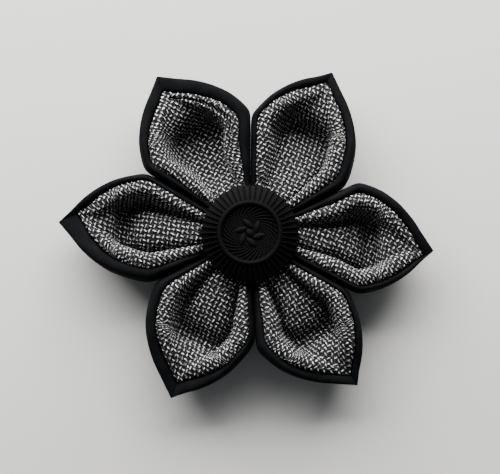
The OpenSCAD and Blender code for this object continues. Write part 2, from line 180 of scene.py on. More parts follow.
def colour(name, description, default):
    """A linear colour for the sidebar."""
    return FloatVectorProperty(name=name, description=description, default=default, min=0.0,
                               max=1.0, size=3, subtype="COLOR")


class FlowerPetalSizes(bpy.types.PropertyGroup):
    """Sizes that the black petals and the tweed petals share."""

    petal_reach: length("Petal reach", "From the flower's centre to a petal tip", 0.043)
    half_width: length("Half width", "Greatest half width of a black petal", 0.0138)
    cup_depth: length("Cup depth", "Depth of a petal from rim to keel", 0.0125)
    root_radius: length("Root radius", "From the centre to the sewn roots", 0.0065)
    clearance: length("Clearance", "Air between a black petal and its tweed", 0.0003)
    gap: length("Gap", "Air between two black petals that lie side by side", 0.00001)
    black_wall: length("Black wall", "Thickness of the folded black cloth", 0.001)
    tweed_wall: length("Tweed wall", "Thickness of the folded tweed", 0.0014)
    rim_show: length("Rim show", "Black that shows beside the tweed", 0.002)
    tip_show: length("Tip show", "Black that shows past the tweed's tip", 0.003)
    lining_rise: length("Lining rise", "The tweed's rim above the black rim", 0.0003)
    square: length("Cut square", "Side of the square that a petal is folded from", 0.0635)


class FlowerTweedLook(bpy.types.PropertyGroup):
    """Weave and colours of the tweed."""

    pitch: length("Crossing", "Width of one crossing of the basket weave", 0.00112)
    relief: length("Relief", "Height of the weave", 0.0002)
    lip: length("Lip", "Width of the rolled lip", 0.0036)
    step: length("Step", "Depth of the step in a stepped lip", 0.0014)
    pale: colour("Pale yarn", "Colour of the off-white yarn", (0.88, 0.89, 0.90))
    dark: colour("Dark yarn", "Colour of the black yarn", (0.005, 0.005, 0.006))


class FlowerBlackLook(bpy.types.PropertyGroup):
    """Weave and colours of the black cotton."""

    pitch: length("Thread", "Spacing of the cotton's threads", 0.00028)
    ripple: length("Ripple", "Height of the soft waves in the cloth", 0.00012)
    # The cotton's paler colour, which shows in soft clouds at random places.
    lit: colour("Lit", "Colour of the cotton where it is worn and dusty", (0.0034, 0.0038, 0.0048))
    deep: colour("Deep", "Colour of the cotton", (0.0012, 0.0014, 0.0018))


class FlowerButtonLook(bpy.types.PropertyGroup):
    """Sizes and colours of the moulded button."""

    width: length("Width", "Diameter over the flutes", 0.0232)
    side: length("Side", "Height of the plain side wall", 0.0015)
    ring: length("Ring", "Diameter of the milled ring", 0.0141)
    ring_wire: length("Ring wire", "Thickness of the milled ring", 0.0011)
    sink: length("Sink", "Depth of the medallion below the ring", 0.0008)
    flutes: IntProperty(name="Flutes", description="Flutes round the slope", default=48, min=8)
    teeth: IntProperty(name="Teeth", description="Teeth round the ring", default=90, min=12)
    ridges: IntProperty(name="Ridges", description="Curved ridges", default=30, min=6)
    leaves: IntProperty(name="Leaves", description="Leaves of the star", default=6, min=3)
    leaf: length("Leaf", "Length of a leaf", 0.0032)
    plastic: colour("Plastic", "Colour of the moulding", (0.0019, 0.0019, 0.0021))


class FlowerStageLook(bpy.types.PropertyGroup):
    """Camera, light and floor."""

    elevation: FloatProperty(name="Elevation", description="The camera's height above the table",
                             default=math.radians(84.5), subtype="ANGLE")
    distance: length("Distance", "From the camera to the flower", 0.45, 2.0)
    lens: FloatProperty(name="Lens", description="Focal length", default=137.7)
    floor: colour("Floor", "Colour of the floor", (0.50, 0.50, 0.495))
    window: FloatProperty(name="Window", description="Strength of the soft window light",
                          default=14.4, unit="POWER")
    room: FloatProperty(name="Room", description="Strength of the light from all round",
                        default=0.18)


# Petals

def smooth_curve(stations, values, at):
    """The values read smoothly between their stations without swinging past them."""
    gap = np.diff(stations)
    rate = np.diff(values) / gap
    slope = np.zeros(len(values))
    slope[0], slope[-1] = rate[0], rate[-1]
    before, after = rate[:-1], rate[1:]
    same = before * after > 0
    slope[1:-1][same] = 2 * before[same] * after[same] / (before + after)[same]
    k = np.clip(np.searchsorted(stations, at, side="right") - 1, 0, len(gap) - 1)
    t = (at - stations[k]) / gap[k]
    return ((2 * t**3 - 3 * t**2 + 1) * values[k] + (t**3 - 2 * t**2 + t) * gap[k] * slope[k]
            + (3 * t**2 - 2 * t**3) * values[k + 1] + (t**3 - t**2) * gap[k] * slope[k + 1])


def section(column, along):
    """A column of SECTIONS at places along the petal."""
    return smooth_curve(SECTIONS[:, ALONG], SECTIONS[:, column], along)


def smoothstep(low, high, x):
    t = np.clip((x - low) / (high - low), 0, 1)
    return t * t * (3 - 2 * t)


class Petal:
    """The surfaces of one petal's cloth, by the same rules as the solids."""

    def __init__(self, sizes, i):
        after = PETALS[i + 1][SEAM] if i + 1 < len(PETALS) else PETALS[0][SEAM] + 360
        self.sizes, self.row = sizes, PETALS[i]
        self.middle = math.radians((self.row[SEAM] + after) / 2)
        self.half_angle = math.radians((after - self.row[SEAM]) / 2)
        self.reach = sizes.petal_reach * self.row[REACH]

    def black_inset(self, depth):
        return dict(left=depth, right=depth, keel=depth, end=TIP_SET * depth, above=0, lean=0)

    def black_face(self, along, across):
        """The black cloth's inner side: it lies against the tweed, so its rim is as thick as the
        black that shows."""
        inset = dict(self.tweed_inset(along[:, None], -self.sizes.clearance), above=0)
        return self.surface(along, across, inset)

    def tweed_inset(self, along, depth):
        s = self.sizes
        bare = s.black_wall + s.clearance
        show, swing = s.rim_show * self.row[SHOW], s.rim_show * self.row[SWING]
        share = smoothstep(GROW_FROM, GROW_FROM + GROW_OVER, along)
        end = max(s.tip_show * self.row[TIP_SHOW], TIP_SET * bare + SWAY_SET * abs(swing))
        return dict(left=bare + max(0, show - swing - bare) * share + depth,
                    right=bare + max(0, show + swing - bare) * share + depth,
                    keel=bare + depth, end=end + TIP_SET * depth, above=s.lining_rise,
                    lean=s.rim_show * self.row[SWAY])

    def half_width(self, along, left, inset):
        """Half the cup's width, on its left side where left is 1 and on its right where it is 0."""
        s = self.sizes
        x = self.way_out(along, inset)
        wide = self.row[WIDE_RIGHT] + (self.row[WIDE_LEFT] - self.row[WIDE_RIGHT]) * left
        room = x * math.tan(self.half_angle) - s.gap / (2 * math.cos(self.half_angle))
        room = room - (2 * left - 1) * self.bend(x)
        free = np.maximum(s.half_width * wide * section(OUTLINE, along), LEAST_HALF)
        n = SEAM_SHARPNESS
        half = 1 / ((MM / room)**n + (MM / free)**n)**(1 / n) * MM
        fade = 1 - along**WALL_FADE
        return half - fade * (inset["right"] + (inset["left"] - inset["right"]) * left)

    def bend(self, x):
        """How far the petal's middle line is bent to the left by its tip's angle."""
        root = self.sizes.root_radius
        gone = np.clip((x - root) / (self.reach - root), 0, 1)
        return self.reach * math.tan(math.radians(self.row[TIP]) - self.middle) * gone**TIP_BEND

    def way_out(self, along, inset):
        s = self.sizes
        return s.root_radius + along * (self.reach - s.root_radius) - inset["end"] * along**2

    def heights(self, along, inset):
        """The heights of the cup's keel and of its rim."""
        depth = self.sizes.cup_depth
        keel = ROOT_Z * section(LIFT, along) + depth * section(RISE, along)
        rim = keel + depth * section(DEPTH, along) + inset["above"]
        return keel + inset["keel"] * (1 - along**WALL_FADE), rim

    def cup(self, along, across, inset):
        """The cup's wall from the right rim, across = -1, to the left rim, across = 1: how far
        it is beside the middle line, and its height."""
        curl = np.radians(section(CURL, along))
        turn = across * curl
        left = smoothstep(-SIDES_MEET, SIDES_MEET, turn)
        low, high = self.heights(along, inset)
        beside = self.half_width(along, left, inset) * np.sin(turn)
        return beside, low + (high - low) * (1 - np.cos(turn)) / (1 - np.cos(curl))

    def place(self, along, beside, z, inset):
        """Points in the flower's frame, bent towards the petal's tip."""
        x = self.way_out(along, inset)
        y = self.bend(x) + inset["lean"] * along**SWAY_BEND + beside
        c, d = math.cos(self.middle), math.sin(self.middle)
        return np.stack([x * c - y * d, x * d + y * c, z], -1)

    def surface(self, along, across, inset):
        beside, z = self.cup(along[:, None], across, inset)
        return self.place(along[:, None], beside, z, inset)

    def face_curves(self, along, look):
        """For each section and each side, the places and heights that the tweed's face passes
        through, from its middle to the outside of its lip."""
        inset = self.tweed_inset(along, 0)
        high = self.heights(along, inset)[1]
        curl = np.radians(section(CURL, along))
        read_at = along - self.row[FARTHER] * np.sin(math.pi * along)**2
        read = [smooth_curve(FACE[:, ALONG], FACE[:, k], np.clip(read_at, *FACE[[0, -1], 0]))
                for k in range(FACE.shape[1])]
        sunk = self.row[SINKS] * np.exp(-((along - SINK_AT) / SINK_WIDE)**2)
        bed = self.heights(along, inset)[0] + self.sizes.tweed_wall
        tongue, crease = (self.sunk_to(read[k], sunk * how, bed + rise)
                          for k, how, rise in ((TONGUE, 1, 0), (CREASE, CREASE_SINKS, CREASE_BED)))
        curves = []
        for left in (0, 1):
            edge = self.half_width(along, left, inset) * np.sin(curl)
            lip = np.minimum(look.lip * read[ROLL], LIP_MOST * edge)
            foot = edge - lip
            lean = 1 + self.row[LEANS] * (2 * left - 1)
            fold = foot * np.minimum(FOLD_MOST, read[FOLD] * lean)
            rise = high + CREST * lip - crease
            curve = ([(p * fold, tongue - q * (tongue - crease)) for p, q in TONGUE_CURVE]
                     + [(fold + p * (foot - fold), crease + q * rise) for p, q in WALL_CURVE]
                     + [(foot + p * lip, crease + q * rise) for p, q in LIP_CURVE]
                     + [(edge, high)])
            curves.append(tuple(np.stack(values, -1) for values in zip(*curve)))
        return curves

    def sunk_to(self, share, sunk, bed):
        """A height lowered by a share of the cup's depth, but not into the ply below."""
        depth = self.sizes.cup_depth
        return np.maximum(depth * (share - sunk), np.minimum(depth * share, bed))

    def tweed_face(self, along, across, look):
        """The face that shows, with a bowl and a tongue between its rolled lips, at even steps
        along the cloth of every section."""
        inset = self.tweed_inset(along[:, None], 0)
        fine = np.sin(np.linspace(0, math.pi / 2, CURVE_STEPS))
        stepped = (look.step * self.row[STEP] * smoothstep(*STEP_FROM, along)
                   * (1 - smoothstep(*STEP_TO, along)))
        beside = np.zeros((len(along), len(across)))
        z = np.zeros_like(beside)
        right, left = self.face_curves(along, look)
        for k in range(len(along)):
            sides = []
            for (places, heights), way in ((right, -1), (left, 1)):
                w = places[k, -1] * fine
                h = smooth_curve(places[k], heights[k], w)
                if way < 0:
                    h = h - stepped[k] * np.exp(-((places[k, -1] - w - STEP_IN) / STEP_WIDE)**2)
                sides.append((way * w, h))
            w = np.concatenate([sides[0][0][:0:-1], sides[1][0]])
            h = np.concatenate([sides[0][1][:0:-1], sides[1][1]])
            run = np.concatenate([[0], np.cumsum(np.hypot(np.diff(w), np.diff(h)))])
            middle = run[len(fine) - 1]
            at = np.where(across < 0, middle * (1 + across),
                          middle + (run[-1] - middle) * across)
            beside[k], z[k] = np.interp(at, run, w), np.interp(at, run, h)
        return self.place(along[:, None], beside, z, inset)

    def tweed_back(self, along, across, look):
        """The ply behind: it lies in the black cup, and rises behind the tongue."""
        inset = self.tweed_inset(along[:, None], 0)
        beside, z = self.cup(along[:, None], across, inset)
        wall = self.sizes.tweed_wall
        right, left = self.face_curves(along, look)
        for k in range(len(along)):
            for (places, heights), side in ((right, beside[k] < 0), (left, beside[k] >= 0)):
                reach = np.abs(beside[k])
                crease = places[k, CREASE_AT]
                under = smooth_curve(places[k, :CREASE_AT + 1], heights[k, :CREASE_AT + 1],
                                     np.clip(reach + wall / 2, 0, crease)) - wall
                lies = side & (reach < crease) & (np.abs(across) < BACK_RISES)
                z[k] = np.where(lies, np.maximum(z[k], under), z[k])
        return self.place(along[:, None], beside, z, inset)


def rows_along(start, end, count):
    """Stations along a petal, closer together towards its tip."""
    t = np.linspace(0, 1, count)
    return start + (end - start) * ((1 + ROWS_CROWD) * t - ROWS_CROWD * t**3)


def rim_arc(front, back, beyond, steps):
    """The round fold from the front face over the rim to the back face, flatter to the tip."""
    rows = np.linspace(0, 1, len(front))[:, None]
    most = RIM_HIGH * (1 - RIM_LOSES * rows**RIM_FADE)
    middle, half = (front + back) / 2, (front - back) / 2
    size = np.linalg.norm(half, axis=-1, keepdims=True)
    unit = half / size
    up = beyond - (beyond * unit).sum(-1, keepdims=True) * unit
    up = up / np.linalg.norm(up, axis=-1, keepdims=True)
    angles = np.linspace(0, math.pi, steps + 2)[1:-1]
    return np.stack([middle + half * math.cos(a) + up * np.minimum(size, most) * math.sin(a)
                     for a in angles], 1)


def folded_ring(front_at, back_at, columns, back_columns, rim_steps):
    """Rings round the folded cloth: out from the seam behind, over a rim, across the face that
    shows, over the other rim and back to the seam, then through the slit between the plies.
    Returns the points, the flat places that the ends are closed by, and the part of each."""
    face = np.linspace(-1, 1, columns)
    behind = np.linspace(1, SEAM_AT, back_columns)
    if not rim_steps:
        behind = behind[1:]
    slit = np.linspace(SEAM_AT, SLIT_END, back_columns // 2)
    middle = np.linspace(0, SLIT_END, back_columns // 2)
    seam = np.array([SEAM_AT])
    low, high = 0.5 - SLIT, 0.5 + SLIT
    turns = np.linspace(0, math.pi, rim_steps + 2)[1:-1]
    front = front_at(face)
    parts = []

    def add(points, across, depth, kind):
        across, depth = np.broadcast_arrays(np.asarray(across, float), depth)
        parts.append((points, across, depth, [kind] * len(across)))

    def add_inner(at, depth, kind, share=1):
        add(back_at(at) + (front_at(at) - back_at(at)) * depth, share * at, depth, kind)

    def add_rim(end, inward, way):
        arc = rim_arc(front[:, end], back_at(face[[end]])[:, 0],
                      front[:, end] - front[:, inward], rim_steps)
        add(arc[:, ::way], way * (1 + CAP_BULGE * np.sin(turns)),
            0.5 + 0.5 * way * np.cos(turns), "rim")

    add_inner(-middle, high, "slit")
    add_inner(-slit[::-1], low, "slit")
    add_inner(-seam, SEAM_DEEP, "seam", SEAM_TUCK)
    add(back_at(-behind[::-1]), -behind[::-1], 0.0, "back")
    if rim_steps:
        add_rim(0, 2, -1)
    add(front, face, 1.0, "face")
    if rim_steps:
        add_rim(-1, -3, 1)
    add(back_at(behind), behind, 0.0, "back")
    add_inner(seam, SEAM_DEEP, "seam", SEAM_TUCK)
    add_inner(slit, low, "slit")
    add_inner(middle[:0:-1], high, "slit")
    points, across, depth, kind = zip(*parts)
    caps = np.stack([np.concatenate(across) * CAP_WIDE, np.concatenate(depth)], -1)
    return np.concatenate(points, 1), caps, np.concatenate(kind)


def ring_normals(points):
    """Normals of a grid of closed rings."""
    round_ring = np.roll(points, -1, 1) - np.roll(points, 1, 1)
    along = np.gradient(points, axis=0)
    normal = np.cross(along, round_ring)
    size = np.linalg.norm(normal, axis=-1, keepdims=True)
    return normal / np.maximum(size, LEAST_NORMAL)


def cloth_places(points, kind):
    """Places in the flat cloth, measured from the middle of the face along the cloth."""
    columns = np.flatnonzero(kind == "face")
    centre = columns[len(columns) // 2]
    steps = np.linalg.norm(np.diff(points, axis=1), axis=-1)
    round_cloth = np.concatenate([np.zeros((len(points), 1)), np.cumsum(steps, 1)], 1)
    round_cloth -= round_cloth[:, centre:centre + 1]
    middle = points[:, centre]
    out = np.concatenate([[0], np.cumsum(np.linalg.norm(np.diff(middle, axis=0), axis=1))])
    return np.broadcast_to(out[:, None], round_cloth.shape), round_cloth


def basket_relief(a, b):
    """Height from 0 to 1 of a basket weave, at places counted in crossings."""
    i, j = np.floor(a), np.floor(b)
    x, y = 2 * (a - i) - 1, 2 * (b - j) - 1
    over = (i + j) % 2 < 1
    down, aside = np.where(over, y, x), np.where(over, x, y)
    (ends, ends_power), (sides, sides_power) = YARN_ENDS, YARN_SIDES
    return (1 - ends * np.abs(down)**ends_power) * (1 - sides * np.abs(aside)**sides_power)


def ring_mesh(name, points, caps, uv):
    """A closed mesh from rings, its two ends closed by the flat places in caps."""
    rows, ring = points.shape[:2]
    at = np.arange(rows * ring).reshape(rows, ring)
    after = np.roll(at, -1, 1)
    quads = np.stack([at[:-1], after[:-1], after[1:], at[1:]], -1).reshape(-1, 4)
    fill = np.array(tessellate_polygon([[Vector((p[0], p[1], 0)) for p in caps]]))
    a, b, c = (caps[fill[:, k]] for k in range(3))
    turned = np.cross(b - a, c - a) < 0
    fill[turned] = fill[turned][:, ::-1]
    flat = points.reshape(-1, 3)
    faces = quads.tolist() + fill[:, ::-1].tolist() + (fill + at[-1, 0]).tolist()
    p, q, r, s = (flat[quads[:, k]] for k in range(4))
    inside_out = (np.einsum("ij,ij->i", p, np.cross(q, r)).sum()
                  + np.einsum("ij,ij->i", p, np.cross(r, s)).sum()) < 0
    if inside_out:
        faces = [face[::-1] for face in faces]
    mesh = bpy.data.meshes.new(name)
    mesh.from_pydata(flat.tolist(), [], faces)
    corners = np.zeros(len(mesh.loops), np.int32)
    mesh.loops.foreach_get("vertex_index", corners)
    layer = mesh.uv_layers.new(name="cloth")
    layer.data.foreach_set("uv", uv.reshape(-1, 2)[corners].ravel().astype(np.float32))
    mesh.shade_smooth()
    mesh.set_sharp_from_angle(angle=CLOTH_SHARP)
    mesh.validate()
    return add_object(name, mesh)


def add_object(name, mesh):
    obj = bpy.data.objects.new(name, mesh)
    bpy.context.scene.collection.objects.link(obj)
    return obj


def waves(points, seed, size, longest):
    """Soft, seeded irregularity over a surface, from -size to size."""
    rng = np.random.default_rng(seed)
    total = np.zeros(points.shape[:-1])
    for _ in range(WAVES):
        direction = rng.normal(size=3)
        direction /= np.linalg.norm(direction)
        span = longest * rng.uniform(SHORTEST_WAVE, 1.0)
        shift = rng.uniform(0, WAVE_SHIFT)
        total += np.sin(points @ direction * (2 * math.pi / span) + shift)
    return size * total / WAVE_SUM


def build_black_petal(i, sizes, look):
    petal = Petal(sizes, i)
    along = rows_along(0, BLACK_END, BLACK_ROWS)
    points, caps, kind = folded_ring(
        lambda at: petal.black_face(along, at),
        lambda at: petal.surface(along, at, petal.black_inset(0)), *BLACK_COLUMNS)
    seed, longest = BLACK_WAVES
    ripple = waves(points, seed + i, look.ripple, longest) * np.isin(kind, ["face", "rim"])
    points = points + ring_normals(points) * ripple[..., None]
    out, round_cloth = cloth_places(points, kind)
    uv = np.stack([out + round_cloth, out - round_cloth], -1) / math.sqrt(2)
    return ring_mesh(f"black_cloth_{i + 1}", points, caps, uv)


def build_tweed_petal(i, sizes, look):
    petal = Petal(sizes, i)
    along = rows_along(SECTIONS[1][ALONG], TWEED_END, TWEED_ROWS)
    points, caps, kind = folded_ring(lambda at: petal.tweed_face(along, at, look),
                                     lambda at: petal.tweed_back(along, at, look),
                                     *TWEED_COLUMNS)
    shown = kind == "face"
    sign = outward_sign(points, ring_normals(points))

    def raised(height):
        return points + sign * ring_normals(points) * (height * shown)[..., None]

    def wavy(seed, size, longest):
        return waves(points, seed + i, size, longest)

    points = raised(wavy(*TWEED_WAVES))
    out, round_cloth = cloth_places(points, kind)
    turn = math.radians(PETALS[i][GRAIN])
    a = out * math.cos(turn) + round_cloth * math.sin(turn) + wavy(*DRIFT_OUT)
    b = out * math.sin(turn) - round_cloth * math.cos(turn) + wavy(*DRIFT_ROUND)
    relief = basket_relief(a / look.pitch, b / look.pitch) - 0.5
    points = raised(look.relief * relief)
    return ring_mesh(f"tweed_cloth_{i + 1}", points, caps, np.stack([a, b], -1))


def outward_sign(points, normal):
    """1 where ring_normals points out of the cloth, else -1."""
    volume = np.einsum("ijk,ijk->", points - points.mean((0, 1)), normal)
    return 1 if volume > 0 else -1


# Node helpers

class Value:
    """A number, place or colour in a node tree. Sums with it add maths nodes to its tree."""

    def __init__(self, socket):
        self.socket, self.tree = socket, socket.id_data

    def __add__(self, other):
        return maths("ADD", self, other)

    def __sub__(self, other):
        return maths("SUBTRACT", self, other)

    def __rsub__(self, other):
        return maths("SUBTRACT", other, self)

    def __mul__(self, other):
        return maths("MULTIPLY", self, other)

    def __truediv__(self, other):
        return maths("DIVIDE", self, other)

    def __rtruediv__(self, other):
        return maths("DIVIDE", other, self)

    def __pow__(self, other):
        return maths("POWER", self, other)

    def __abs__(self):
        return maths("ABSOLUTE", self)

    def clamped(self):
        """The same sum, kept from 0 to 1 by its last node."""
        self.socket.node.use_clamp = True
        return self


def feed(node, **values):
    """Sets or links a node's inputs by index (i0, i1) or by name with underscores."""
    for key, value in values.items():
        by_index = key[0] == "i" and key[1:].isdigit()
        socket = node.inputs[int(key[1:]) if by_index else key.replace("_", " ")]
        if isinstance(value, Value):
            value.tree.links.new(value.socket, socket)
        else:
            socket.default_value = value
    return node


def add_node(tree, kind, **values):
    return feed(tree.nodes.new(kind), **values)


def result(node, at=0):
    return Value(node.outputs[at])


def results(node):
    """A node's outputs by their names."""
    return {socket.name: Value(socket) for socket in node.outputs}


def maths(operation, *values):
    """A maths node on numbers, one of which at least is a Value."""
    tree = next(value.tree for value in values if isinstance(value, Value))
    node = add_node(tree, "ShaderNodeMath", **{f"i{k}": v for k, v in enumerate(values)})
    node.operation = operation
    return result(node)


def blend(share, low, high):
    """Mixes two numbers."""
    return result(add_node(share.tree, "ShaderNodeMix", i0=share, i2=low, i3=high))


def blend_colour(tree, share, low, high, mode="MIX"):
    node = tree.nodes.new("ShaderNodeMix")
    node.data_type, node.blend_type = "RGBA", mode
    return result(feed(node, i0=share, i6=low, i7=high), 2)


def noise(place, scale, detail):
    return result(add_node(place.tree, "ShaderNodeTexNoise", Vector=place, Scale=scale,
                           Detail=detail))


def bump(height, distance, strength):
    return result(add_node(height.tree, "ShaderNodeBump", Height=height, Distance=distance,
                           Strength=strength))


def cloth_uv(tree):
    node = tree.nodes.new("ShaderNodeUVMap")
    node.uv_map = "cloth"
    return result(node)


def object_place(tree):
    return results(tree.nodes.new("ShaderNodeTexCoord"))["Object"]


def rgba(values):
    return (*values, 1.0)


def group_tree(name, kind, inputs, outputs):
    """A node group, its inputs by name, and its end node. A socket is given by its kind, or
    where it holds a number by its first value."""
    tree = bpy.data.node_groups.new(name, kind)
    for way, sockets in (("INPUT", inputs), ("OUTPUT", outputs)):
        for label, given in sockets.items():
            number = isinstance(given, float)
            socket_type = "NodeSocket" + ("Float" if number else given)
            socket = tree.interface.new_socket(label, in_out=way, socket_type=socket_type)
            if number:
                socket.default_value = given
    return tree, results(tree.nodes.new("NodeGroupInput")), tree.nodes.new("NodeGroupOutput")


def place_group(tree, name, **values):
    """Puts a node group in a tree and gives its outputs by name."""
    node = tree.nodes.new("ShaderNodeGroup")
    node.node_tree = bpy.data.node_groups[name]
    return results(feed(node, **values))


def chance(i, j, seed):
    """Numbers from 0 to 1 that differ from crossing to crossing: three, and a fourth."""
    cell = add_node(i.tree, "ShaderNodeCombineXYZ", X=i, Y=j, Z=seed)
    white = results(add_node(i.tree, "ShaderNodeTexWhiteNoise", Vector=result(cell)))
    parts = add_node(i.tree, "ShaderNodeSeparateColor", Color=white["Color"])
    return [result(parts, k) for k in range(3)], white["Value"]


# Shader groups

# The pale yarns on top, in crossings: their half width and lean, how much each one's lean and
# place differ, the least half length and how much more there may be, and their edges' sharpness.
PALE_WIDTH, TILT, LEANS_BY, LIES_BY = 0.076, 0.24, 0.5, 0.22
PALE_REACH, REACH_MORE, EDGE_SHARPNESS = 0.35, 0.14, 14.0
# How bright they are at least and how much more, the power that they taper by, and how much they
# fall towards their ends, with the power of that.
LEAST_BRIGHT, MORE_BRIGHT, TAPER, ARCH, ARCH_BEND = 0.36, 0.95, 4.0, 0.8, 2.5
# The pale yarns below show by their swerve, and by the way that they run.
SWERVE, SHOWS_BELOW = 0.6, (0.85, 0.3)
# The seed of the second lot of chances.
MORE_CHANCES = 7.0


def soft_edge(width, off):
    """1 inside a width and 0 outside it, with a soft edge between."""
    return ((width - off) * EDGE_SHARPNESS + 0.5).clamped()


def basket_weave_group():
    """Basket weave on cloth places. In each crossing a pale yarn lies over a pale one that
    crosses it and a black one on either side. Out come the pale yarns' mask and the height."""
    tree, start, end = group_tree(
        "Basket weave", "ShaderNodeTree",
        {"Cloth": "Vector", "Crossing": 0.001, "Pale width": PALE_WIDTH, "Tilt": TILT,
         "Fray": 0.0}, {"Pale": "Float", "Height": "Float"})
    parts = add_node(tree, "ShaderNodeSeparateXYZ", Vector=start["Cloth"])
    a, b = (result(parts, k) / start["Crossing"] for k in (0, 1))
    i, j = maths("FLOOR", a), maths("FLOOR", b)
    x, y = a - i, b - j
    over = maths("FLOORED_MODULO", i + j, 2.0)
    aside, down = blend(over, x, y) - 0.5, blend(over, y, x) - 0.5
    luck, value = chance(i, j, 0.0)
    odds, other = chance(i, j, MORE_CHANCES)
    # the yarn on top leans one way, more or less, and lies a little off the middle
    lean = (luck[1] - 0.5) * LEANS_BY + start["Tilt"] * (over * 2.0 - 1.0)
    centre = lean * down + (luck[0] - 0.5) * LIES_BY
    off = abs(aside - centre) + start["Fray"]
    share = abs(down) / (luck[2] * REACH_MORE + PALE_REACH)
    narrow = start["Pale width"] * (1.0 - share ** TAPER)
    bright = (value * MORE_BRIGHT + LEAST_BRIGHT).clamped()
    top = soft_edge(narrow, off) * bright
    # the pale yarn below shows beside it, more on one side, and mostly where it runs outwards
    swerve = (odds[0] - 0.5) * SWERVE * aside
    below = abs(down - swerve) + start["Fray"]
    close = (abs(aside) * -9.0 + (other * 1.4 + 2.6)).clamped()
    side = (aside * 3.0 + 0.6).clamped()
    dim = (odds[1] * 1.1 - 0.1).clamped() * close * side * blend(over, *SHOWS_BELOW)
    strand = soft_edge(start["Pale width"], below) * dim
    # each yarn is round and arches over the one below
    round_yarn = (1.0 - (off * 4.0) ** 2.0).clamped()
    arch = (1.0 - share ** ARCH_BEND * ARCH).clamped()
    feed(end, Pale=maths("MAXIMUM", top, strand), Height=(round_yarn * 0.6 + 0.4) * arch)


def fine_weave_group():
    """Plain weave too fine to show as yarns: its height, and a soft mask of paler patches that lie
    at random in clouds.
    """
    tree, start, end = group_tree(
        "Fine weave", "ShaderNodeTree", {"Cloth": "Vector", "Place": "Vector", "Thread": 0.0003},
        {"Height": "Float", "Worn": "Float"})
    parts = add_node(tree, "ShaderNodeSeparateXYZ", Vector=start["Cloth"])
    rate = math.pi / start["Thread"]
    warp, weft = (maths("SINE", result(parts, k) * rate) for k in (0, 1))
    cloud = noise(start["Place"], 260.0, 4.0)
    feed(end, Height=warp * weft, Worn=((cloud - 0.38) * 2.6).clamped())


def grain_group():
    """Fine all-over unevenness of a hard surface: a height and a slow mask."""
    _, start, end = group_tree(
        "Surface grain", "ShaderNodeTree", {"Place": "Vector", "Grain": 3000.0},
        {"Height": "Float", "Patches": "Float"})
    feed(end, Height=noise(start["Place"], start["Grain"], 3.0),
         Patches=noise(start["Place"], 420.0, 3.0))


def shared_groups():
    """The effects that the materials use, each built once."""
    for name, make in (("Basket weave", basket_weave_group), ("Fine weave", fine_weave_group),
                       ("Surface grain", grain_group)):
        if name not in bpy.data.node_groups:
            make()


# Materials

# Depths of the tweed's yarns, of the cotton's threads and of the grain of hard surfaces.
YARN_DEPTH, THREAD_DEPTH, GRAIN_DEPTH = 0.00012, 0.00004, 0.00002
# How fine the tweed's frayed edges, its uneven yarns, its loose hairs and its fuzz are.
FRAY, SLUBS, HAIRS, FUZZ = 4600.0, 1700.0, 4200.0, 9000.0
# How much paler the plastic is in its worn patches.
WORN_PLASTIC = 1.7
METAL_DULL, METAL_BRIGHT = (0.62, 0.61, 0.58), (0.74, 0.73, 0.71)


def new_material(name):
    material = bpy.data.materials.new(name)
    material.use_nodes = True
    tree = material.node_tree
    return material, tree, tree.nodes["Principled BSDF"]


def tweed_material(look):
    material, tree, shader = new_material("black and off-white tweed")
    place = object_place(tree)
    weave = place_group(tree, "Basket weave", Cloth=cloth_uv(tree), Crossing=look.pitch,
                        Fray=noise(place, FRAY, 3.0) * 0.24 - 0.12)
    slub = (noise(place, SLUBS, 3.0) * 2.6 - 0.5).clamped()
    hairs = (noise(place, HAIRS, 2.0) * 1.3 - 0.74).clamped()
    base = blend_colour(tree, maths("MAXIMUM", weave["Pale"] * slub, hairs), rgba(look.dark),
                        rgba(look.pale))
    # Painted shade: the tweed's colour is darkened where the weave lies low, at the yarns' edges
    # and ends and between them, as if shaded there.
    painted_yarn_shade = (weave["Height"] * 0.5 + 0.55).clamped()
    height = noise(place, FUZZ, 3.0) * 0.35 + weave["Height"]
    feed(shader, Base_Color=blend_colour(tree, 1.0, base, painted_yarn_shade, "MULTIPLY"),
         Normal=bump(height, YARN_DEPTH, 0.8), Roughness=0.95, Specular_IOR_Level=0.1)
    return material


def black_material(look):
    material, tree, shader = new_material("black cotton")
    weave = place_group(tree, "Fine weave", Cloth=cloth_uv(tree), Place=object_place(tree),
                        Thread=look.pitch)
    # The cotton's colour is mixed towards a paler black in soft random clouds.
    feed(shader, Base_Color=blend_colour(tree, weave["Worn"], rgba(look.deep), rgba(look.lit)),
         Normal=bump(weave["Height"], THREAD_DEPTH, 0.5), Roughness=0.8,
         Specular_IOR_Level=0.04, Sheen_Weight=0.004, Sheen_Roughness=0.4,
         Sheen_Tint=(0.75, 0.85, 1.0, 1.0))
    return material


def hard_material(name, grain, gloss, low, high, strength, **finish):
    """A hard surface with a fine grain and patches of another colour and gloss. The finish goes
    to the shader's own sockets."""
    material, tree, shader = new_material(name)
    surface = place_group(tree, "Surface grain", Place=object_place(tree), Grain=grain)
    smooth, duller = gloss
    feed(shader, Base_Color=blend_colour(tree, surface["Patches"], rgba(low), rgba(high)),
         Roughness=surface["Patches"] * duller + smooth,
         Normal=bump(surface["Height"], GRAIN_DEPTH, strength), **finish)
    return material


def plastic_material(look):
    return hard_material("black moulded plastic", 6000.0, (0.5, 0.25), look.plastic,
                         [c * WORN_PLASTIC for c in look.plastic], 0.4,
                         Specular_IOR_Level=0.025)


def metal_material():
    return hard_material("nickel-plated steel", 5000.0, (0.2, 0.3), METAL_DULL, METAL_BRIGHT, 0.5,
                         Metallic=1.0)


# Repeated shapes

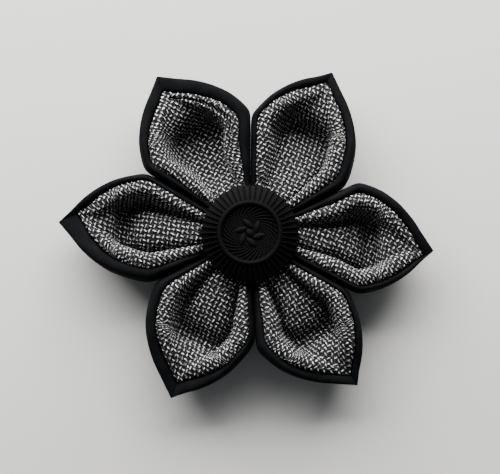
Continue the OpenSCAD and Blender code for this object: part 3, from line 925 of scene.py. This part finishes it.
def copies_tree():
    """Geometry nodes that repeat a shape evenly round the z axis."""
    name = "Copies round the axis"
    if name in bpy.data.node_groups:
        return bpy.data.node_groups[name]
    tree, start, end = group_tree(
        name, "GeometryNodeTree", {"Shape": "Geometry", "Copies": "Int", "Material": "Material"},
        {"Geometry": "Geometry"})
    points = add_node(tree, "GeometryNodePoints", Count=start["Copies"])
    share = result(tree.nodes.new("GeometryNodeInputIndex")) / start["Copies"]
    turn = add_node(tree, "ShaderNodeCombineXYZ", Z=share * (2 * math.pi))
    copies = add_node(tree, "GeometryNodeInstanceOnPoints", Points=result(points),
                      Instance=start["Shape"], Rotation=result(turn))
    real = add_node(tree, "GeometryNodeRealizeInstances", Geometry=result(copies))
    dressed = add_node(tree, "GeometryNodeSetMaterial", Geometry=result(real),
                       Material=start["Material"])
    feed(end, Geometry=result(dressed))
    return tree


def apply_tree(obj, tree, **values):
    """Runs a tree on obj with its named inputs set, and leaves a plain mesh."""
    modifier = obj.modifiers.new("nodes", "NODES")
    modifier.node_group = tree
    for item in tree.interface.items_tree:
        if item.in_out == "INPUT" and item.name in values:
            modifier[item.identifier] = values[item.name]
    bpy.context.view_layer.update()
    graph = bpy.context.evaluated_depsgraph_get()
    mesh = bpy.data.meshes.new_from_object(obj.evaluated_get(graph))
    obj.modifiers.clear()
    obj.data = mesh
    return obj


def object_of(name, mesh):
    """An object from a bmesh, which is freed."""
    data = bpy.data.meshes.new(name)
    mesh.to_mesh(data)
    mesh.free()
    return add_object(name, data)


def solid_of_rings(name, rings, loop=False):
    """A closed solid from rings of points, some of which may be one point only. The last ring
    meets the first where loop is true, and otherwise flat faces close the ends."""
    mesh = bmesh.new()
    rings = [[mesh.verts.new(point) for point in ring] for ring in rings]
    n = max(len(ring) for ring in rings)
    for first, second in zip(rings, rings[1:] + rings[:1] * loop):
        for k in range(n):
            corners = [ring[m % len(ring)] for ring, m in
                       ((first, k), (first, (k + 1) % n), (second, (k + 1) % n), (second, k))]
            mesh.faces.new(list(dict.fromkeys(corners)))
    for end in (rings[0][::-1], rings[-1]):
        if len(end) > 1 and not loop:
            mesh.faces.new(end)
    bmesh.ops.recalc_face_normals(mesh, faces=mesh.faces)
    return object_of(name, mesh)


def swept(name, centres, aside, up, outline, widths, heights):
    """A closed ridge along centres: outline is (side, height) from one foot to the other."""
    return solid_of_rings(name, [
        [c + s * (w * a) + u * (h * b) for a, b in outline]
        for c, s, u, w, h in zip(centres, aside, up, widths, heights)])


def lathe(name, profile, steps, loop=False):
    """A solid of revolution. Its profile is a loop away from the axis where loop is true, and
    otherwise starts and ends on the axis."""
    angles = np.arange(steps) * (2 * math.pi / steps)
    return solid_of_rings(name, [
        [(r * math.cos(a), r * math.sin(a), z) for a in (angles if r > 0 else angles[:1])]
        for r, z in profile], loop)


def half_round(steps, foot, flat=1.0):
    """A half-round outline from foot to foot, closed below by its feet; flatter where flat is
    less than 1."""
    angles = np.linspace(0, math.pi, steps)
    return ([(0.5, -foot)] + [(0.5 * math.cos(a), abs(math.sin(a))**flat) for a in angles]
            + [(-0.5, -foot)])


def joined(name, parts):
    """One object from several, with its edges shaded by their angle."""
    material = parts[-1].data.materials[0]
    mesh = bmesh.new()
    for part in parts:
        mesh.from_mesh(part.data)
        bpy.data.objects.remove(part)
    obj = object_of(name, mesh)
    obj.data.materials.append(material)
    obj.data.shade_smooth()
    obj.data.set_sharp_from_angle(angle=MOULDED_SHARP)
    return obj


def near(x, z, *offsets):
    """Points by their offsets in millimetres from (x, z)."""
    return [(x + a * MM, z + b * MM) for a, b in offsets]


def path_normals(points):
    """Directions that stand on a path in the plane y = 0, pointing up and outwards."""
    out = []
    for k in range(len(points)):
        ahead = points[min(k + 1, len(points) - 1)] - points[max(k - 1, 0)]
        out.append(Vector((-ahead.z, 0, ahead.x)).normalized())
    return out


# Button

# The shank's radius, how far the ring's middle stands above the slope's foot, and the room that
# the core leaves for the flutes.
SHANK, SLOPE_FALL, FLUTE_ROOM = 0.003, 0.0015, 0.00035
# A flute's half width as a share of the flutes' spacing, and its heights down its path in
# millimetres.
FLUTE_WIDE = 0.24
FLUTE_RISE = [0.2, 0.5, 0.6, 0.62, 0.56, 0.42, 0.35, 0.35, 0.33, 0.1]
# The ring's section runs almost round, and each tooth over its top: angles as shares of a half
# turn, the width as a share of the teeth's spacing, and the height.
RING_ARC, TOOTH_ARC, TOOTH_WIDE, TOOTH_HIGH = (-0.35, 1.35), (-0.42, 0.5), 0.5, 0.00012
# A ridge's slant, where it starts and how far it runs as shares of the medallion's radius, its
# steps and those of a turn of its cord, and its width and height as shares of the room for it,
# each with the share that goes and comes with the cord.
RIDGE_SLANT, RIDGE_FROM, RIDGE_RUN, RIDGE_STEPS, CORD_STEPS = 1.11, 0.38, 0.58, 45, 4
RIDGE_WIDE, RIDGE_HIGH, WIDE_CORD, HIGH_CORD = 0.8, 0.6, 0.35, 0.5
# The leaves of the star: width, height, place as a share of the medallion's radius, turn round
# the axis and lean in degrees. The one in the middle is shorter.
LEAF_WIDE, LEAF_HIGH, LEAF_AT, LEAF_TURN, LEAF_LEAN = 0.00135, 0.00055, 0.34, 40, 37
HEART_SHARE, HEART_WIDE, HEART_HIGH, HEART_TURN = 0.72, 0.0015, 0.00065, -50
# A leaf's steps, the least share of its width at its points, and how its width and height swell.
LEAF_STEPS, LEAF_POINT, LEAF_SWELL, LEAF_KEEL = 15, 0.04, 0.75, 0.6
# The steps of the body, the ring and the ring's section, and of a tooth's path.
BODY_STEPS, RING_STEPS, WIRE_STEPS, TOOTH_STEPS = 192, 240, 14, 9
# The half-round sections: their steps, and how deep their feet go for a height of 1.
FLUTE_ROUND, TOOTH_ROUND, RIDGE_ROUND, LEAF_ROUND = (9, 0.4), (5, 0.6), (7, 0.5), (9, 0.4)
SIDEWAYS, UPWARDS = Vector((0, 1, 0)), Vector((0, 0, 1))


class Moulding:
    """The button's heights and radii, worked out from the sizes in the sidebar."""

    def __init__(self, look):
        self.look = look
        self.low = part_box("button")[0].z
        self.wire, self.ring = look.ring_wire / 2, look.ring / 2
        self.top = BUTTON_TOP - self.wire
        self.slope = self.top - SLOPE_FALL
        self.under = self.slope - look.side
        self.core = look.width / 2 - FLUTE_ROOM
        self.inner = self.ring - self.wire
        self.floor = self.top + self.wire - look.sink

    def ring_points(self, arc, steps):
        """Angles and points on the ring's section, from its top outwards."""
        angles = np.linspace(arc[0] * math.pi, arc[1] * math.pi, steps)
        return angles, [(self.ring + self.wire * math.sin(a), self.top + self.wire * math.cos(a))
                        for a in angles]


def body(m):
    return lathe("body", [(0, m.low), *near(SHANK, m.low, (-0.3, 0), (0, 0.3)), (SHANK, m.under),
                          *near(m.core, m.under, (-0.5, 0), (-0.15, 0.15), (0, 0.5)),
                          *near(m.core, m.slope, (0, -0.3), (-0.12, -0.06), (-0.4, 0.12)),
                          *near(m.ring, m.top, (0.6, -0.28), (0, 0)), (m.inner, m.top),
                          *near(m.inner, m.floor, (0, 0.15), (-0.15, 0)),
                          (m.inner / 2, m.floor), (0, m.floor)], BODY_STEPS)


def flute(m):
    """One flute, down the slope and over the edge."""
    path = [Vector((x, 0, z)) for x, z in
            near(m.ring, m.top, (0.55, 0.02), (1.3, -0.18), (2.2, -0.6), (3.1, -1.08))
            + near(m.core, m.slope, (-0.35, 0.16), (-0.08, -0.04), (0, -0.3), (0, -0.8))
            + near(m.core, m.under, (0, 0.55), (-0.2, 0.3))]
    wide = [FLUTE_WIDE * 2 * math.pi * p.x / m.look.flutes for p in path]
    return swept("flute", path, [SIDEWAYS] * len(path), path_normals(path),
                 half_round(*FLUTE_ROUND), wide, [high * MM for high in FLUTE_RISE])


def tooth(m):
    """One tooth, across the ring."""
    steps = TOOTH_STEPS
    angles, points = m.ring_points(TOOTH_ARC, steps)
    wide = 2 * math.pi * m.ring / m.look.teeth * TOOTH_WIDE
    return swept("tooth", [Vector((x, 0, z)) for x, z in points], [SIDEWAYS] * steps,
                 [Vector((math.sin(a), 0, math.cos(a))) for a in angles],
                 half_round(*TOOTH_ROUND), [wide] * steps, [TOOTH_HIGH] * steps)


def ridge(m):
    """One ridge that curves outwards over the medallion, clockwise, like a twisted cord."""
    steps = RIDGE_STEPS
    radii = [m.inner * (RIDGE_FROM + RIDGE_RUN * k / (steps - 1)) for k in range(steps)]
    turns = [-RIDGE_SLANT * math.log(r / m.inner) for r in radii]
    centres = [Vector((r * math.cos(a), r * math.sin(a), m.floor)) for r, a in zip(radii, turns)]
    aside = []
    for k in range(steps):
        ahead = (centres[min(k + 1, steps - 1)] - centres[max(k - 1, 0)]).normalized()
        aside.append(Vector((-ahead.y, ahead.x, 0)))
    twist = [0.5 + 0.5 * math.cos(2 * math.pi * k / CORD_STEPS) for k in range(steps)]
    room = [2 * math.pi * r / m.look.ridges / math.hypot(1, RIDGE_SLANT) for r in radii]
    return swept("ridge", centres, aside, [UPWARDS] * steps, half_round(*RIDGE_ROUND),
                 [RIDGE_WIDE * g * (1 - WIDE_CORD * (1 - w)) for g, w in zip(room, twist)],
                 [RIDGE_HIGH * g * (1 - HIGH_CORD * (1 - w)) for g, w in zip(room, twist)])


def leaf(m, long, wide, high, out, turn, lean):
    """A pointed leaf with a keeled back, out from the axis at an angle, and leaned from it."""
    heading, turned = math.radians(turn + lean), math.radians(turn)
    middle = Vector((out * math.cos(turned), out * math.sin(turned), m.floor))
    ahead = Vector((math.cos(heading), math.sin(heading), 0))
    side = Vector((-ahead.y, ahead.x, 0))
    at = np.linspace(-0.5, 0.5, LEAF_STEPS)
    swell = [max(LEAF_POINT, math.cos(math.pi * t)**LEAF_SWELL) for t in at]
    return swept("leaf", [middle + ahead * (long * t) for t in at], [side] * LEAF_STEPS,
                 [UPWARDS] * LEAF_STEPS, half_round(*LEAF_ROUND, LEAF_KEEL),
                 [wide * s for s in swell], [high * s**LEAF_KEEL for s in swell])


def build_button(look):
    plastic, tree, m = plastic_material(look), copies_tree(), Moulding(look)
    parts = [body(m), lathe("ring", m.ring_points(RING_ARC, WIRE_STEPS)[1], RING_STEPS, True)]
    for shape, copies in (
            (flute(m), look.flutes), (tooth(m), look.teeth), (ridge(m), look.ridges),
            (leaf(m, look.leaf, LEAF_WIDE, LEAF_HIGH, LEAF_AT * m.inner, LEAF_TURN, LEAF_LEAN),
             look.leaves),
            (leaf(m, HEART_SHARE * look.leaf, HEART_WIDE, HEART_HIGH, 0, HEART_TURN, 0), 1)):
        parts.append(apply_tree(shape, tree, Copies=copies, Material=plastic))
    return joined("moulded_button", parts)


# Operators

def take_place(obj, node):
    """Puts a finished piece in the place of its solid."""
    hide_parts(node)
    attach(obj, "root")


class FLOWER_OT_black_petals(bpy.types.Operator):
    """Folds the six outer petals of black cotton"""

    bl_idname = "flower.black_petals"
    bl_label = "Black petals"

    def execute(self, context):
        sizes, look = context.scene.flower_petals, context.scene.flower_black
        material = black_material(look)
        for i in range(len(PETALS)):
            obj = build_black_petal(i, sizes, look)
            obj.data.materials.append(material)
            take_place(obj, f"black_petal_{i + 1}")
        return {"FINISHED"}


class FLOWER_OT_tweed_petals(bpy.types.Operator):
    """Folds the six inner petals of tweed"""

    bl_idname = "flower.tweed_petals"
    bl_label = "Tweed petals"

    def execute(self, context):
        sizes, look = context.scene.flower_petals, context.scene.flower_tweed
        material = tweed_material(look)
        for i in range(len(PETALS)):
            obj = build_tweed_petal(i, sizes, look)
            obj.data.materials.append(material)
            take_place(obj, f"tweed_petal_{i + 1}")
        return {"FINISHED"}


class FLOWER_OT_button(bpy.types.Operator):
    """Moulds the button over the petals' roots"""

    bl_idname = "flower.button"
    bl_label = "Button"

    def execute(self, context):
        take_place(build_button(context.scene.flower_button), "button")
        return {"FINISHED"}


class FLOWER_OT_bar_pin(bpy.types.Operator):
    """Gives the bar pin its metal"""

    bl_idname = "flower.bar_pin"
    bl_label = "Bar pin"

    def execute(self, context):
        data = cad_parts["bar_pin"].data
        data.materials.clear()
        data.materials.append(metal_material())
        return {"FINISHED"}


class FLOWER_OT_stage(bpy.types.Operator):
    """Sets the floor, the soft window light and the camera"""

    bl_idname = "flower.stage"
    bl_label = "Stage"

    def execute(self, context):
        look = context.scene.flower_stage
        place_floor(look)
        place_lights(look)
        place_camera(look)
        return {"FINISHED"}


# Stage

# The window's size, place and tint, and the tint of the light from all round.
WINDOW_SIZE, WINDOW_AT, WINDOW_TINT = (0.72, 0.38), (-0.042, 0.319, 0.192), (1.0, 0.985, 0.96)
ROOM_TINT = (0.93, 0.96, 1.0)
# Half the floor's side, its cloudiness, and its darkest as a share of its colour.
FLOOR_HALF, FLOOR_CLOUDS, FLOOR_DARKEST = 1.5, 9.0, 0.97
# What the camera looks at, and how far it looks below that.
AIM, AIM_DROP, SENSOR = Vector((0.00005, 0, 0.008)), 0.00028, 36.0


def place_floor(look):
    mesh = bmesh.new()
    bmesh.ops.create_grid(mesh, x_segments=2, y_segments=2, size=FLOOR_HALF)
    material, tree, shader = new_material("pale matt floor")
    darkest = rgba([c * FLOOR_DARKEST for c in look.floor])
    clouds = noise(object_place(tree), FLOOR_CLOUDS, 2.0)
    feed(shader, Base_Color=blend_colour(tree, clouds, rgba(look.floor), darkest),
         Roughness=0.95, Specular_IOR_Level=0.1)
    floor = object_of("floor", mesh)
    floor.data.materials.append(material)


def place_lights(look):
    window = bpy.data.lights.new("window", "AREA")
    window.shape = "RECTANGLE"
    window.size, window.size_y = WINDOW_SIZE
    window.energy, window.color = look.window, WINDOW_TINT
    obj = bpy.data.objects.new("window", window)
    obj.location = WINDOW_AT
    obj.rotation_euler = (-obj.location).to_track_quat("-Z", "Y").to_euler()
    bpy.context.scene.collection.objects.link(obj)
    world = bpy.data.worlds.new("room")
    world.use_nodes = True
    feed(world.node_tree.nodes["Background"], Color=rgba(ROOM_TINT), Strength=look.room)
    bpy.context.scene.world = world


def place_camera(look):
    back = Vector((0, -math.cos(look.elevation), math.sin(look.elevation)))
    up = Vector((0, math.sin(look.elevation), math.cos(look.elevation)))
    data = bpy.data.cameras.new("camera")
    data.lens, data.sensor_width = look.lens, SENSOR
    obj = bpy.data.objects.new("camera", data)
    obj.location = AIM - up * AIM_DROP + back * look.distance
    obj.rotation_euler = (-back).to_track_quat("-Z", "Y").to_euler()
    bpy.context.scene.collection.objects.link(obj)
    bpy.context.scene.camera = obj


# Sidebar


class FLOWER_PT_sidebar(bpy.types.Panel):
    """Sizes, colours and steps of the flower pin"""

    bl_idname = "FLOWER_PT_sidebar"
    bl_label = "Flower Pin"
    bl_space_type = "VIEW_3D"
    bl_region_type = "UI"
    bl_category = "Flower Pin"

    def draw(self, context):
        for step in OPERATORS:
            self.layout.operator(step.bl_idname)
        for name, group in GROUPS.items():
            box = self.layout.box()
            box.label(text=group.__doc__)
            for item in group.__annotations__:
                box.prop(getattr(context.scene, name), item)


GROUPS = {
    "flower_petals": FlowerPetalSizes,
    "flower_tweed": FlowerTweedLook,
    "flower_black": FlowerBlackLook,
    "flower_button": FlowerButtonLook,
    "flower_stage": FlowerStageLook,
}
OPERATORS = [FLOWER_OT_stage, FLOWER_OT_black_petals, FLOWER_OT_tweed_petals,
             FLOWER_OT_button, FLOWER_OT_bar_pin]


def register():
    for group in [*GROUPS.values(), *OPERATORS, FLOWER_PT_sidebar]:
        bpy.utils.register_class(group)
    for name, group in GROUPS.items():
        setattr(bpy.types.Scene, name, PointerProperty(type=group))


def unregister():
    for name in GROUPS:
        delattr(bpy.types.Scene, name)
    for group in [FLOWER_PT_sidebar, *OPERATORS, *GROUPS.values()]:
        bpy.utils.unregister_class(group)


def main():
    register()
    shared_groups()
    bpy.ops.flower.stage()
    bpy.ops.flower.black_petals()
    bpy.ops.flower.tweed_petals()
    bpy.ops.flower.button()
    bpy.ops.flower.bar_pin()


if __name__ == "__main__":
    main()
